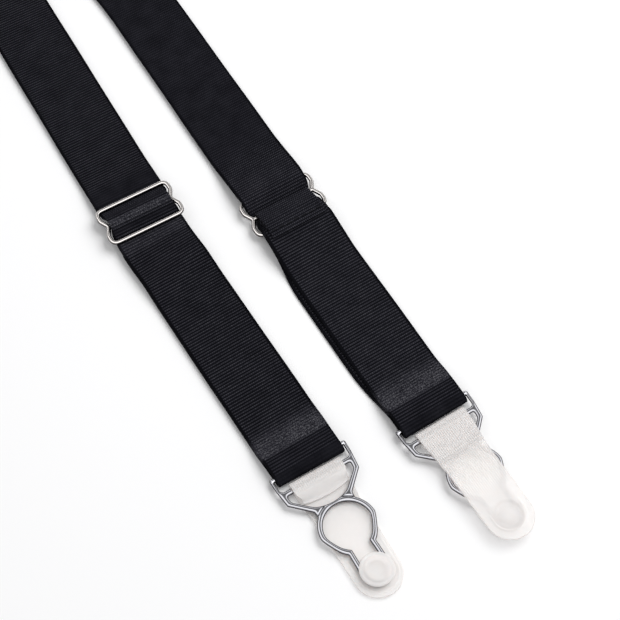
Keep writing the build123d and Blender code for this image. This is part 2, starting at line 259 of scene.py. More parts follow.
def webbing_material():
    """Black ribbed elastic.

    band holds the place across and along it in mm, and 1 on its face. The other attribute is 1
    where a painted satin sheen with painted glints lies over a fold, and -1 where the band is drawn
    smooth.
    """
    s = shader("black_webbing")
    band = s.attribute("band", "Vector")
    # above 0 a painted satin sheen, below 0 drawn smooth
    painted_sheen_and_smoothing = s.attribute("painted_sheen_and_smoothing")
    painted_satin = s.math("MAXIMUM", painted_sheen_and_smoothing, 0.0)
    drawn = s.math("MAXIMUM", s.mul(painted_sheen_and_smoothing, -1.0), 0.0)
    across, along, face = s.split(band)
    reverse = s.sub(1.0, face)

    # ribs across the band, beaded by the threads that cross them, more so on the reverse
    row = s.math("DIVIDE", along, RIB_PITCH)
    knot = s.add(s.math("DIVIDE", across, KNOT_PITCH), s.mul(s.math("FLOOR", row), 0.5))
    rib = s.math("POWER", s.arches(row), s.sub(1.6, s.mul(reverse, 0.7)))
    beading = s.add(0.5, s.mul(reverse, 0.3))
    beaded = s.add(s.sub(1.0, beading), s.mul(s.arches(knot), beading))
    middle = s.math("LESS_THAN", s.math("ABSOLUTE", across), STRAP_WIDTH / 2 - PLAIN_EDGE)
    calm = s.math("MAXIMUM", s.mul(drawn, 0.8), s.mul(painted_satin, 0.55))
    speckle = s.noise(band, 1.15, 2.0, 0.6)
    weave = s.mul(rib, beaded, middle, s.sub(1.0, calm), s.add(0.50, speckle))

    fibre = s.noise(band, 3.2, 4.0, 0.75)
    patchy = s.noise(band, 0.16, 2.0)
    # painted glints, laid only where the band carries its painted satin sheen
    glint = s.ramp(s.noise(band, 2.7, 1.5, 0.6),
                   [(0.0, 0.0), (0.44, 0.10), (0.70, 1.0), (1.0, 1.0)])
    painted_glints = s.mul(glint, painted_satin)
    # the painted sheen and glints lighten the tone
    tone = s.add(s.mul(weave, 0.58), s.mul(s.sub(fibre, 0.22), 0.42),
                 s.mul(s.sub(patchy, 0.5), 0.20), s.mul(painted_glints, 0.66),
                 s.mul(s.add(painted_satin, drawn), 0.17))
    colour = s.ramp(tone, [(0.0, (0.0010, 0.0010, 0.0016)), (0.28, (0.0040, 0.0040, 0.0058)),
                           (0.60, (0.025, 0.0247, 0.0315)), (1.0, (0.098, 0.097, 0.108))])
    rough = s.add(s.sub(0.78, s.mul(painted_satin, 0.25)), s.mul(s.sub(fibre, 0.5), 0.2))
    height = s.add(weave, s.mul(fibre, 0.3), s.mul(painted_glints, 0.7))
    return s.finish(Base_Color=colour, Roughness=rough, Normal=s.bump(height, 0.00016, 0.9),
                    Specular_IOR_Level=0.055)


def metal_material(name, colour, rough, wear):
    """Plated wire or plate: faint polishing marks, dull spots, small wear, and painted shade on the
    flanks standing in for dark reflections there.
    """
    s = shader(name)
    where = s.object_space()
    marks = s.noise(where, 900.0, 4.0, 0.6)
    dull = s.noise(where, 160.0)
    worn = s.ramp(s.noise(where, 420.0, 5.0, 0.65),
                  [(0.0, 0.0), (0.66, 0.0), (0.74, 1.0), (1.0, 1.0)])
    tint = tuple(c * 0.72 for c in colour)
    # painted shade for the flanks
    flank_shade_colour = tuple(c * d for c, d in zip(colour, (0.07, 0.065, 0.07)))
    mixed = s.mix(s.attribute("painted_flank_shade"), s.mix(s.mul(worn, wear), colour, tint), flank_shade_colour)
    roughness = s.add(rough, s.mul(dull, 0.09), s.mul(worn, 0.12 * wear))
    return s.finish(Base_Color=mixed, Metallic=1.0, Roughness=roughness,
                    Normal=s.bump(marks, 0.00001, 0.35))


def plastic_material(name, body, edge, haze):
    """Milky clear plastic, denser where it is seen edge on, with faint flow marks.

    It lets most of the lamps' light through, and painted shade darkens its grooves.
    """
    s = shader(name)
    where = s.object_space()
    cloud = s.noise(where, 140.0)
    scuff = s.noise(where, 1500.0, 3.0, 0.7)
    facing = s.node("LayerWeight", {"Blend": 0.42}, out="Facing")
    dense = s.add(haze, s.mul(s.sub(cloud, 0.5), 0.16))
    alpha = s.math("MINIMUM", s.add(dense, s.mul(facing, 0.6)), 1.0)
    lamp_ray = s.node("LightPath", out="Is Shadow Ray")
    alpha = s.mul(alpha, s.sub(1.0, s.mul(lamp_ray, 0.66)))
    # painted shade colour for the grooves
    dark = tuple(c * 0.74 for c in body)
    tint = s.mix(s.attribute("groove"), s.mix(facing, body, edge), dark)
    rough = s.add(0.24, s.mul(scuff, 0.16))
    return s.finish(Base_Color=tint, Roughness=rough, Alpha=alpha, IOR=1.49, Coat_Weight=0.25,
                    Coat_Roughness=0.12, Subsurface_Weight=0.55, Subsurface_Scale=0.0016,
                    Subsurface_Radius=(1.0, 0.92, 0.88), Normal=s.bump(scuff, 0.00001, 0.3))


def thread_material():
    s = shader("thread")
    where = s.object_space()
    twist = s.node("TexWave", {"Vector": where, "Scale": 900.0, "Distortion": 1.0}, out="Fac",
                   bands_direction="DIAGONAL")
    tone = s.add(s.mul(twist, 0.6), s.mul(s.noise(where, 2600.0), 0.4))
    colour = s.ramp(tone, [(0.0, (0.002, 0.002, 0.003)), (1.0, (0.016, 0.016, 0.019))])
    return s.finish(Base_Color=colour, Roughness=0.7, Specular_IOR_Level=0.15,
                    Normal=s.bump(tone, 0.00006, 0.8))


def leather_material():
    s = shader("patch_leather")
    where = s.object_space()
    cells = s.node("TexVoronoi", {"Vector": where, "Scale": 900.0}, feature="DISTANCE_TO_EDGE")
    crease = s.ramp(cells, [(0.0, 0.0), (0.12, 0.8), (0.5, 1.0)])
    soft = s.noise(where, 130.0, 4.0)
    rubbed = s.ramp(soft, [(0.0, 0.0), (0.55, 0.0), (0.8, 1.0)])
    colour = s.mix(s.mul(rubbed, 0.5), (0.010, 0.010, 0.011), (0.030, 0.028, 0.027))
    rough = s.sub(0.58, s.mul(rubbed, 0.14))
    height = s.add(crease, s.mul(soft, 0.6))
    return s.finish(Base_Color=colour, Roughness=rough, Normal=s.bump(height, 0.00010, 0.7))


def floor_material():
    s = shader("studio_floor")
    tone = s.noise(s.object_space(), 2.0, 2.0)
    colour = s.ramp(tone, [(0.3, (0.93, 0.93, 0.935)), (0.7, (0.95, 0.95, 0.95))])
    return s.finish(Base_Color=colour, Roughness=0.9, Specular_IOR_Level=0.1)


webbing = webbing_material()
chrome = metal_material("chrome_plate", (0.84, 0.84, 0.87), 0.075, 0.5)
nickel = metal_material("nickel_wire", (0.93, 0.89, 0.85), 0.17, 0.7)
clear = plastic_material("clear_plastic", (0.945, 0.920, 0.905), (0.78, 0.69, 0.66), 0.56)
ribbed = plastic_material("ribbed_clear_plastic", (0.88, 0.855, 0.84), (0.58, 0.52, 0.50), 0.66)
thread = thread_material()
leather = leather_material()


# ---- numbers and lines
def smoothstep(x, low, high):
    t = np.clip((np.asarray(x, float) - low) / (high - low), 0, 1)
    return t * t * (3 - 2 * t)


def plateau(x, start, full, fade, end):
    """1 from full to fade, and 0 before start and after end."""
    return smoothstep(x, start, full) * (1 - smoothstep(x, fade, end))


def hump(x, at, width, power=2):
    return np.exp(-((x - at) / width) ** power)


def edge_drop(edge, radius):
    """How far a face falls at a distance in from its edge, for an edge of that radius."""
    inset = np.clip(radius - edge, 0, None)
    return radius - np.sqrt(np.clip(radius**2 - inset**2, 0, None))


def unit(vectors):
    return vectors / np.linalg.norm(vectors, axis=1)[:, None]


def heading(axis):
    """Unit vector along an axis in plan."""
    v = np.array(axis[:2], float)
    return v / np.linalg.norm(v)


def distances(points):
    """How far along a line each of its points is."""
    return np.concatenate(([0], np.cumsum(np.linalg.norm(np.diff(points, axis=0), axis=1))))


def resample(points, step):
    """A line evenly spaced again, and how far along it each new point is."""
    points = np.asarray(points, float)
    gaps = np.linalg.norm(np.diff(points, axis=0), axis=1)
    points = points[np.concatenate(([True], gaps > 1e-6))]
    run = distances(points)
    at = np.linspace(0, run[-1], max(int(round(run[-1] / step)), 2) + 1)
    return np.stack([np.interp(at, run, column) for column in points.T], axis=1), at


def blurred(points, step, sigma, closed=False):
    """A line rounded by a Gaussian along its length. An open one's ends are held."""
    reach = int(4 * sigma / step)
    weights = np.exp(-0.5 * (np.arange(-reach, reach + 1) * step / sigma) ** 2)
    weights /= weights.sum()
    if closed:
        before, after = points[-reach:], points[:reach]
    else:
        before = 2 * points[0] - points[1:reach + 1][::-1]
        after = 2 * points[-1] - points[-reach - 1:-1][::-1]
    padded = np.vstack((before, points, after))
    return np.stack([np.convolve(column, weights, "valid") for column in padded.T], axis=1)


def rounded_loop(points, sigma, step=0.12):
    """A closed outline, evenly spaced, with its corners eased."""
    line = resample(np.vstack((points, points[:1])), step)[0][:-1]
    return blurred(line, step, sigma, closed=True)


def mirrored(right):
    """A whole outline from its right half."""
    return np.array([*right, *((-x, y) for x, y in reversed(right))])


def bent(corners, radii, steps):
    """A closed line round corners of given radii, which ends on its first point."""
    line = []
    for i, (corner, radius) in enumerate(zip(corners, radii)):
        a, b = corners[i - 1] - corner, corners[(i + 1) % len(corners)] - corner
        a, b = a / np.linalg.norm(a), b / np.linalg.norm(b)
        cut = radius / math.tan(math.acos(np.clip(a @ b, -1, 1)) / 2)
        t = np.linspace(0, 1, steps)[:, None]
        line.append((1 - t) ** 2 * (corner + a * cut) + 2 * t * (1 - t) * corner
                    + t**2 * (corner + b * cut))
    return np.vstack(line + [line[0][:1]])


def angles(start, end, count):
    return np.radians(np.linspace(start, end, count))


def arc(cx, cy, radius, start, end, steps=40):
    turn = angles(start, end, steps + 1)
    return np.stack((cx + radius * np.cos(turn), cy + radius * np.sin(turn)), 1)


# ---- meshes
def place(origin, x_axis, up):
    """A local frame: origin in metres, its X axis, and +1 or -1 for its face up or down."""
    x = Vector(x_axis).normalized()
    z = Vector((0, 0, up))
    matrix = Matrix((x, z.cross(x), z)).transposed().to_4x4()
    return Matrix.Translation(Vector(origin)) @ matrix


def to_frame(points, where):
    """Points in mm in a local frame, in metres in the row's frame."""
    m = np.array(where, float)
    return np.asarray(points, float) * MM @ m[:3, :3].T + m[:3, 3]


def linked(name, data):
    obj = bpy.data.objects.new(name, data)
    bpy.context.scene.collection.objects.link(obj)
    return obj


def make(name, verts, faces, material, slot):
    """A smooth piece with every face turned outwards."""
    mesh = bpy.data.meshes.new(name)
    mesh.from_pydata([tuple(v) for v in verts], [], [tuple(int(i) for i in f) for f in faces])
    mesh.validate()
    mesh.polygons.foreach_set("use_smooth", [True] * len(mesh.polygons))
    mesh.materials.append(material)
    shape = bmesh.new()
    shape.from_mesh(mesh)
    bmesh.ops.recalc_face_normals(shape, faces=shape.faces)
    shape.to_mesh(mesh)
    shape.free()
    obj = linked(name, mesh)
    return obj


def store(mesh, name, values):
    """A number for each point, which the material reads."""
    values = np.ravel(values).astype(np.float32)
    mesh.attributes.new(name, "FLOAT", "POINT").data.foreach_set("value", values)


def ring_faces(rows, columns, closed=False):
    """Quads round each ring of a swept section."""
    faces = []
    for i in range(rows if closed else rows - 1):
        a, b = i * columns, ((i + 1) % rows) * columns
        for j in range(columns):
            k = (j + 1) % columns
            faces.append((a + j, a + k, b + k, b + j))
    return faces


def capped_faces(rows, columns):
    """The faces of a swept section with a flat cap over each end."""
    last = (rows - 1) * columns
    caps = [tuple(range(columns))[::-1], tuple(range(last, last + columns))]
    return ring_faces(rows, columns) + caps


def two_sided(quads, n):
    """A sheet's quads, the same n points on with their backs to it, and a wall round both."""
    rim = {}
    for quad in quads.tolist():
        for a, b in zip(quad, quad[1:] + quad[:1]):
            if (b, a) in rim:
                del rim[b, a]
            else:
                rim[a, b] = True
    return [*quads, *(n + quads[:, ::-1]), *((b, a, n + a, n + b) for a, b in rim)]


def joined(*pieces):
    verts, faces, start = [], [], 0
    for v, f in pieces:
        verts.append(v)
        faces += [tuple(i + start for i in face) for face in f]
        start += len(v)
    return np.vstack(verts), faces


def tube(points, diameter, closed=False, sides=16):
    """Round wire along a line in the local XY plane."""
    points = np.asarray(points, float)
    if closed:
        along = np.roll(points, -1, 0) - np.roll(points, 1, 0)
    else:
        along = np.gradient(points, axis=0)
    along = unit(along)
    across = np.stack((along[:, 1], -along[:, 0]), 1)
    turn = np.linspace(0, TURN, sides, endpoint=False)
    verts = np.zeros((len(points), sides, 3))
    reach = (np.cos(turn) * diameter / 2)[None, :, None]
    verts[:, :, :2] = points[:, None] + across[:, None] * reach
    verts[:, :, 2] = np.sin(turn) * diameter / 2
    faces = ring_faces(len(points), sides, True) if closed else capped_faces(len(points), sides)
    return verts.reshape(-1, 3), faces


def fused(name, pieces, voxel, rounds, where, material, slot, flank_top):
    """Overlapping solids made one skin, with small fillets where they meet.

    Painted shade darkens the flanks, which lie below flank_top mm from the middle plane; it stands
    in for the dark reflections there.
    """
    obj = make(name, *joined(*pieces), material, slot)
    remesh = obj.modifiers.new("skin", "REMESH")
    remesh.mode = "VOXEL"
    remesh.voxel_size = voxel
    soften = obj.modifiers.new("soften", "SMOOTH")
    soften.factor = 0.5
    soften.iterations = rounds
    bpy.context.view_layer.update()
    graph = bpy.context.evaluated_depsgraph_get()
    skin = bpy.data.meshes.new_from_object(obj.evaluated_get(graph))
    obj.modifiers.clear()
    local = np.zeros(len(skin.vertices) * 3)
    skin.vertices.foreach_get("co", local)
    height = np.abs(local[2::3])
    # painted shade on the flanks
    store(skin, "painted_flank_shade", 1 - smoothstep(height, flank_top * 0.45, flank_top * 0.85))
    skin.transform(where @ Matrix.Scale(MM, 4))
    skin.materials.clear()
    skin.materials.append(material)
    skin.polygons.foreach_set("use_smooth", [True] * len(skin.polygons))
    skin.update()
    obj.data = skin
    return obj


# ---- webbing
def webbing_mesh(name, centre, across, widths, painted_sheen_and_smoothing, face_up, seed, thin=1.0):
    """Ribbed webbing swept along a line of points in mm, a STATION apart."""
    count = len(centre)
    along = unit(np.gradient(centre, axis=0))
    across = unit(across - (across * along).sum(1)[:, None] * along)
    normal = np.cross(along, across)
    run = distances(centre)
    rib = 0.5 - 0.5 * np.cos(TURN * run / RIB_PITCH)
    section = np.array(SECTION)
    loop = np.concatenate((section, section[-2:0:-1]))
    top = np.concatenate((np.ones(len(section)), -np.ones(len(section) - 2)))
    top[[0, len(section) - 1]] = 0.0
    rim = np.clip((np.abs(loop) - RIM) / (1 - RIM), 0, 1)
    body = np.sqrt(np.clip(1 - rim ** 2, 0, 1))
    ribbed_part = (np.abs(loop) <= RIBBED).astype(float)
    depth = RIB_DEPTH * (1 - 0.75 * np.clip(-painted_sheen_and_smoothing, 0, 1)) * (1 - rib)
    height = top * (STRAP_HALF * body - ribbed_part * depth[:, None])
    height *= np.broadcast_to(thin, count)[:, None]
    wander = 0.10 * np.sin(run / 17.0 + seed) + 0.06 * np.sin(run / 6.3 + 2 * seed)
    half = widths[:, None] / 2 + wander[:, None] * 0.5
    verts = (centre[:, None] + across[:, None] * (loop[None] * half)[:, :, None]
             + normal[:, None] * height[:, :, None])
    columns = len(loop)
    faces = ring_faces(count, columns)
    last = (count - 1) * columns
    for j in range(len(section) - 1):
        quad = list(dict.fromkeys((j, j + 1, columns - j - 1, (columns - j) % columns)))
        faces += [quad, [last + q for q in reversed(quad)]]
    obj = make(name, verts.reshape(-1, 3) * MM, faces, webbing, "black_webbing")
    band = np.zeros((count, columns, 3), np.float32)
    band[:, :, 0] = loop[None] * half
    band[:, :, 1] = run[:, None]
    band[:, :, 2] = (top[None] * face_up > 0)
    places = obj.data.attributes.new("band", "FLOAT_VECTOR", "POINT")
    places.data.foreach_set("vector", band.ravel())
    store(obj.data, "painted_sheen_and_smoothing", np.repeat(painted_sheen_and_smoothing, columns))
    return obj, float(run[-1])


def rounded(profile, turns, fine=0.35, coarse=1.5):
    """A (distance, height) line rounded: gently along the runs, and only a little at the turns."""
    line, _ = resample(profile, STATION)
    soft, tight = blurred(line, STATION, coarse), blurred(line, STATION, fine)
    near = np.zeros(len(line))
    for at, reach in turns:
        near = np.maximum(near, 1 - smoothstep(np.abs(line[:, 0] - at), reach, reach + 5.0))
    return resample(soft * (1 - near[:, None]) + tight * near[:, None], STATION)[0]


def slider_width(distance):
    """The band's width near a slider: drawn in under the rails and a little more over the bar."""
    away = np.abs(distance)
    return (STRAP_WIDTH - (STRAP_WIDTH - RAIL_WIDTH) * (1 - smoothstep(away, 6.0, 9.0))
            - (RAIL_WIDTH - BAR_WIDTH) * (1 - smoothstep(away, 1.5, 4.5)))


def turn_round(radius_along, radius_up, at, level, side, start, end, steps):
    """Points of a turn in a (distance, height) line, in degrees from its far end."""
    return [(at + radius_along * math.cos(a), level + side * radius_up * math.sin(a))
            for a in angles(start, end, steps)]


def clip_turn(at, level, side):
    """The fold round a clip's bar, which is at a distance along the line."""
    return turn_round(FOLD_REACH, BAR_DROP, at + FOLD_CENTRE, level, side, 90, 270, 25)


def loop_profile(arm, level, clip_level, length):
    """The loop's line: over the slider, to the clip and back, and sewn round the slider's bar."""
    side = arm["side"]
    start, end = arm["settle"]

    def layer(drop, lower, clip_side):
        lying = TABLE_GAP + STRAP_HALF + (0.0 if lower else LAYER_PITCH)
        at_clip = clip_level + clip_side * BAR_DROP
        return [(-start, level - side * drop), (-end, lying), (-(length - 16.0), lying),
                (-(length - 5.0), at_clip), (-(length - 1.8), at_clip)]

    crossing = [(y, level + side * z) for y, z in CROSSING]
    crossing += [(-y, z) for y, z in reversed(crossing)]
    fold = clip_turn(-length, clip_level, side)
    back = layer(BACK_DROP, side > 0, -side)[::-1]
    under = [(-9.1, level - side * BACK_DROP), (-6.3, level - side * BACK_DROP)]
    wrap = turn_round(WRAP_RADIUS, WRAP_RADIUS, 0.0, level, side, 119.7, -68, 19)
    tail = [(-5.0, level - side * TAIL_DROP), (-arm["tail"], level - side * TAIL_DROP)]
    return crossing + layer(RUN_DROP, side < 0, side) + fold + back + under + wrap + tail


def front_arm(name, arm):
    """The loop's band with its sewn end, the upper strap and the slider of one side."""
    side = arm["side"]
    low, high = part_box(f"{name}_slider_bar")
    bar = np.array((low + high) / 2) / MM
    up_slider = heading(JOINTS[f"{name}_slider_slide"]["axis"])
    up_loop = heading(JOINTS[f"{name}_loop_slide"]["axis"])
    hinge = JOINTS[f"{name}_clip_hinge"]
    clip_bar = np.array(hinge["pos_m"]) / MM
    length = np.linalg.norm(clip_bar[:2] - bar[:2])
    line = rounded(loop_profile(arm, bar[2], clip_bar[2], length), [(0.0, 8.0), (-length, 4.0)])

    depth = -line[:, 0]
    order = np.arange(len(line))
    fold_row = int(np.argmin(line[:, 0]))
    upper_leg, after_fold = order < fold_row, order > fold_row

    def nearing(far, near):
        """0 up to far mm before the clip's bar, and 1 from near mm before it."""
        return smoothstep(depth, length - far, length - near)

    # in plan the loop leaves the slider along its own axis, and the clip may be turned a little
    swing = smoothstep(depth, 8.0, 26.0)[:, None]
    along = unit(up_slider * (1 - swing) + up_loop * swing)
    centre = np.zeros((len(line), 3))
    centre[:, :2] = bar[:2] + along * line[:, :1]
    centre[:, 2] = line[:, 1]
    across = np.stack((along[:, 1], -along[:, 0], np.zeros(len(line))), 1)
    at_clip = nearing(14.0, 3.0)[:, None]
    across = across * (1 - at_clip) + np.array(hinge["axis"]) * side * at_clip
    drift = plateau(depth, 14.0, 34.0, length - 26.0, length - 6.0) * arm["drift"] * upper_leg
    centre += across * drift[:, None]

    # drawn in at the slider and the clip, and folded narrow where it is sewn
    widths = slider_width(depth) - (STRAP_WIDTH - CLIP_TURN_WIDTH) * nearing(12.0, 4.0)
    sewn = STRAP_WIDTH - (STRAP_WIDTH - SEWN_WIDTH) * (1 - smoothstep(depth, 5.0, 12.0))
    widths = np.where(after_fold, np.minimum(widths, sewn), widths)
    widths[int(np.argmax(np.where(after_fold, line[:, 0], -1e9))):] = SEWN_WIDTH

    # painted satin sheen above the clip, evenly over the arm and below the slider's lower rail;
    # drawn smooth at the turns
    painted_sheen_and_smoothing = nearing(19.5, 11.0) * (1 - nearing(8.3, 5.7))
    painted_sheen_and_smoothing += arm["even_painted_sheen"] * (1 - painted_sheen_and_smoothing) - 0.75 * nearing(1.2, 0.4) - 0.35 * nearing(8.0, 6.5)
    painted_sheen_and_smoothing += 0.45 * upper_leg * plateau(depth, 6.5, 7.5, 11.5, 13.5)
    # a painted highlight where the band crosses over the slider's bar, with the ribs smoothed in a
    # band either side
    bar_painted_highlight_and_smoothing = hump(depth, 0.7, 1.5, 4) - hump(np.abs(depth - 0.7), 2.8, 0.7)
    painted_sheen_and_smoothing += 0.9 * (upper_leg & (np.abs(depth) < 4.6)) * bar_painted_highlight_and_smoothing

    # the sewn end is pressed thin
    taper = 1 - smoothstep(order[::-1] * STATION, 0.0, 3.2)
    centre[:, 2] += side * 0.32 * taper
    loop, loop_length = webbing_mesh(f"{name}_loop_band", centre, across, widths, painted_sheen_and_smoothing, side,
                                     arm["seed"], 1 - 0.62 * taper)
    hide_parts(*(f"{name}_{n}" for n in (
        "strap_crossing", "front_run", "clip_turn", "back_run", "sewn_end")))
    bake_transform(loop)

    upper_strap(name, arm, bar, up_slider)
    seam_z = bar[2] - side * (TAIL_DROP + STRAP_HALF) + 0.03
    seam(f"{name}_sewn_seam", bar, up_slider, SEAM_INSET - arm["tail"], seam_z, -side,
         f"{name}_slider", f"{name}_seam")
    slider(name, place(bar * MM, (up_slider[1], -up_slider[0], 0), 1))


def drawing_origin():
    """Where the drawing's own origin lies, mm: the back clip's bar is at a known place in it."""
    at = JOINTS["back_clip_hinge"]["pos_m"]
    return np.array((at[0] / MM - PATCH_X, at[1] / MM - BACK_BAR_Y))


def curve_through(points, first, last, steps=60):
    """A smooth line through plan points with given directions at its ends."""
    points = np.asarray(points, float)
    tangents = unit(np.gradient(points, axis=0))
    tangents[0], tangents[-1] = first, last
    spans = np.linalg.norm(np.diff(points, axis=0), axis=1)
    line = []
    for p, q, a, b, span in zip(points, points[1:], tangents, tangents[1:], spans):
        t = np.linspace(0, 1, steps)[:, None]
        line.append((2 * t**3 - 3 * t**2 + 1) * p + (t**3 - 2 * t**2 + t) * a * span
                    + (-2 * t**3 + 3 * t**2) * q + (t**3 - t**2) * b * span)
    return np.vstack(line)


def upper_strap(name, arm, bar, up):
    """From the patch down to the slider, where the loop's band takes over."""
    side, origin = arm["side"], drawing_origin()
    route = [np.array(p) + origin for p in (*arm["route"], (arm["end_x"], STRAP_END_Y))]
    reach = bar[:2] + up * SLIDE_REACH
    lead = heading(route[-1] - route[-2])
    plan = np.vstack(([bar[:2] + up * HAND_OVER], curve_through([reach] + route, up, lead)))
    plan, run = resample(plan, 0.1)
    low = bar[2] - side * RUN_DROP
    depth = run + HAND_OVER
    heights = np.interp(depth, [9.1, 10.6, arm["rise_end"]], [low, low, FLAT_LEVEL])
    line = blurred(np.column_stack((plan, heights)), 0.1, 2.6)
    lying = plateau(depth, 40, 70, run[-1] - 45, run[-1] - 25)
    line[:, 2] += 0.05 * np.sin(depth / 21.0 + arm["seed"]) * lying
    line = resample(line, STATION)[0][::-1]
    along = -unit(np.gradient(line[:, :2], axis=0))
    across = np.stack((along[:, 1], -along[:, 0], np.zeros(len(line))), 1)
    from_bar = (line[:, :2] - bar[:2]) @ up
    if side > 0:
        smooth = 1 - smoothstep(from_bar, 12.5, 19.0)
    else:
        smooth = 0.8 * smoothstep(from_bar, 14.0, 36.0)
    # the arm's even painted satin sheen, less where the strap is drawn smooth
    strap, length = webbing_mesh(f"{name}_strap_webbing", line, across, slider_width(from_bar),
                                 arm["even_painted_sheen"] - smooth, side, arm["seed"] + 5)
    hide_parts(f"{name}_upper_strap", f"{name}_sliding_run")
    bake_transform(strap)


def back_strap():
    """From the patch to the back clip, round its bar, and back to a sewn tail."""
    x, y, z = np.array(JOINTS["back_clip_hinge"]["pos_m"]) / MM
    length = BACK_BAR_Y - BACK_START_Y
    tail = STRAP_HALF + 0.31
    over = tail + LAYER_PITCH + 0.05
    profile = [(length, FLAT_LEVEL), (BACK_TAIL + 12, FLAT_LEVEL), (BACK_TAIL + 2, over),
               (13.0, over), (4.5, z + BAR_DROP), (1.8, z + BAR_DROP), *clip_turn(0.0, z, 1),
               (1.8, z - BAR_DROP), (6.0, max(z - BAR_DROP, tail)), (BACK_TAIL, tail)]
    line = rounded(profile, [(0.0, 4.0)], coarse=1.0)
    depth = line[:, 0]
    centre = np.column_stack((np.full(len(line), x), y - depth, line[:, 1]))
    across = np.tile((-1.0, 0.0, 0.0), (len(line), 1))
    widths = STRAP_WIDTH - (STRAP_WIDTH - CLIP_TURN_WIDTH) * (1 - smoothstep(depth, 4.0, 12.0))
    # painted satin sheen above the clip, drawn smooth at the fold
    painted_sheen_and_smoothing = plateau(depth, 5.5, 7.5, 12.5, 17.0) - 1.1 * (1 - smoothstep(depth, 0.4, 1.2))
    strap, run = webbing_mesh("back_strap_webbing", centre, across, widths, painted_sheen_and_smoothing, 1, 7.0)
    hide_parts("back_strap")
    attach(strap, "straps")
    seam("back_sewn_seam", (x, y), np.array((0.0, -1.0)), BACK_TAIL - SEAM_INSET,
         tail - STRAP_HALF - 0.02, -1, "straps", "back_seam")


# ---- stitches
def stitch(x, y, z, turn, length, side, sides=8, stations=9):
    """One thread, its ends pulled down into the cloth. side is +1 for a face up."""
    t = np.linspace(-1, 1, stations)
    radius = THREAD * np.sqrt(np.clip(1 - 0.75 * t**6, 0.05, 1))
    lift = side * (0.12 - 0.22 * t**4)
    around = np.linspace(0, TURN, sides, endpoint=False)
    verts = np.zeros((stations, sides, 3))
    verts[:, :, 0] = (t * length / 2)[:, None]
    verts[:, :, 1] = radius[:, None] * np.cos(around)
    verts[:, :, 2] = lift[:, None] + 0.8 * radius[:, None] * np.sin(around)
    c, s = math.cos(turn), math.sin(turn)
    u, v, w = verts.reshape(-1, 3).T
    moved = np.column_stack((x + c * u - s * v, y + s * u + c * v, z + w))
    return moved, capped_faces(stations, sides)


def stitching(name, threads, body, node):
    verts, faces = joined(*threads)
    obj = make(name, verts * MM, faces, thread, "thread")
    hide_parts(node)
    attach(obj, body)


def seam(name, bar, up, depth, height, side, body, node):
    """A row of threads across a strap's end."""
    across = np.array((up[1], -up[0]))
    turn = math.atan2(across[1], across[0])
    threads = []
    for i in range(SEAM_THREADS):
        at = (bar[:2] + up * (depth + 0.12 * math.sin(2.3 * i))
              + across * (SEAM_PITCH * (i - SEAM_THREADS // 2)))
        slant = turn + 0.05 * math.sin(3.1 * i)
        threads.append(stitch(*at, height, slant, SEAM_STITCH, side))
    stitching(name, threads, body, node)


# ---- slider
def slider(name, where):
    """A closed wire with two lobes on each side and a waist between them, and its middle bar."""
    corners = mirrored([(LOBE_HALF, RAIL_OFFSET), (LOBE_HALF, LOBE_SHOULDER), (WAIST_HALF, 0.0),
                        (LOBE_HALF, -LOBE_SHOULDER), (LOBE_HALF, -RAIL_OFFSET)])
    ring = tube(resample(bent(corners, 2 * WIRE_BENDS, 12), 0.5)[0][:-1], WIRE, closed=True)
    bar = tube([(x, 0) for x in np.linspace(-WAIST_HALF, WAIST_HALF, 30)], WIRE)
    obj = fused(f"{name}_slider_wire", [ring, bar], 0.14, 4, where, nickel, "nickel_wire", 0.66)
    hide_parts(f"{name}_slider_frame", f"{name}_slider_bar")
    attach(obj, f"{name}_slider")


# ---- clip
def pear(points):
    """A ring drawn in a little on the way to the neck."""
    down = np.clip((-RING_CENTRE - points[:, 1]) / RING_OUTER, 0, 1)
    return np.column_stack((points[:, 0] * (1 - 0.10 * np.sin(math.pi * down)), points[:, 1]))


def frame_outlines():
    """The stamped frame's edges: its outside, the slot, the window and the keyhole."""
    right = [(SLOT_HALF - 0.3, 0.4), (SLOT_HALF + 0.2, 0.9), (FRAME_HALF - 0.25, 0.7),
             (FRAME_HALF, 0.1), (FRAME_HALF - 0.15, -4.0), SIDE_FOOT, RING_JOIN]
    join = math.degrees(math.asin(RING_JOIN_HALF / RING_OUTER))
    neck = math.degrees(math.asin(NECK_OUTER / RING_OUTER))
    ring = pear(arc(0, -RING_CENTRE, RING_OUTER, 90 - join, -90 + neck))
    half = np.vstack((right, ring, arc(0, -BUTTON_SEAT, NECK_OUTER, 0, -90, 16)))
    outside = rounded_loop(np.vstack((half, half[::-1] * (-1, 1))), 0.22)

    foot = MIDDLE_BAR_HALF - MIDDLE_BAR
    slot = rounded_loop(mirrored([(SLOT_HALF, 0.0), (SLOT_HALF, foot + SLOT_CORNER),
                                  (SLOT_HALF - SLOT_CORNER, foot)]), 0.2)

    # the window's foot is an arc through its two lower corners and its lowest point
    x, y = WINDOW[-1]
    rise = WINDOW_DEPTH + y
    radius = (x**2 + rise**2) / (2 * rise)
    swing = math.degrees(math.asin(x / radius))
    bowl = arc(0, -WINDOW_DEPTH + radius, radius, -90 + swing, -90 - swing, 20)
    left = [(-x, y) for x, y in reversed(WINDOW)]
    window = rounded_loop(np.vstack((WINDOW, bowl, left)), 0.45)

    neck = math.degrees(math.asin(NECK_INNER / RING_INNER))
    ring = pear(arc(0, -RING_CENTRE, RING_INNER, -90 + neck, 270 - neck, 70))
    hole = rounded_loop(np.vstack((ring, arc(0, -BUTTON_SEAT, NECK_INNER, 180, 360, 24))), 0.2)
    return [outside, slot, window, hole]


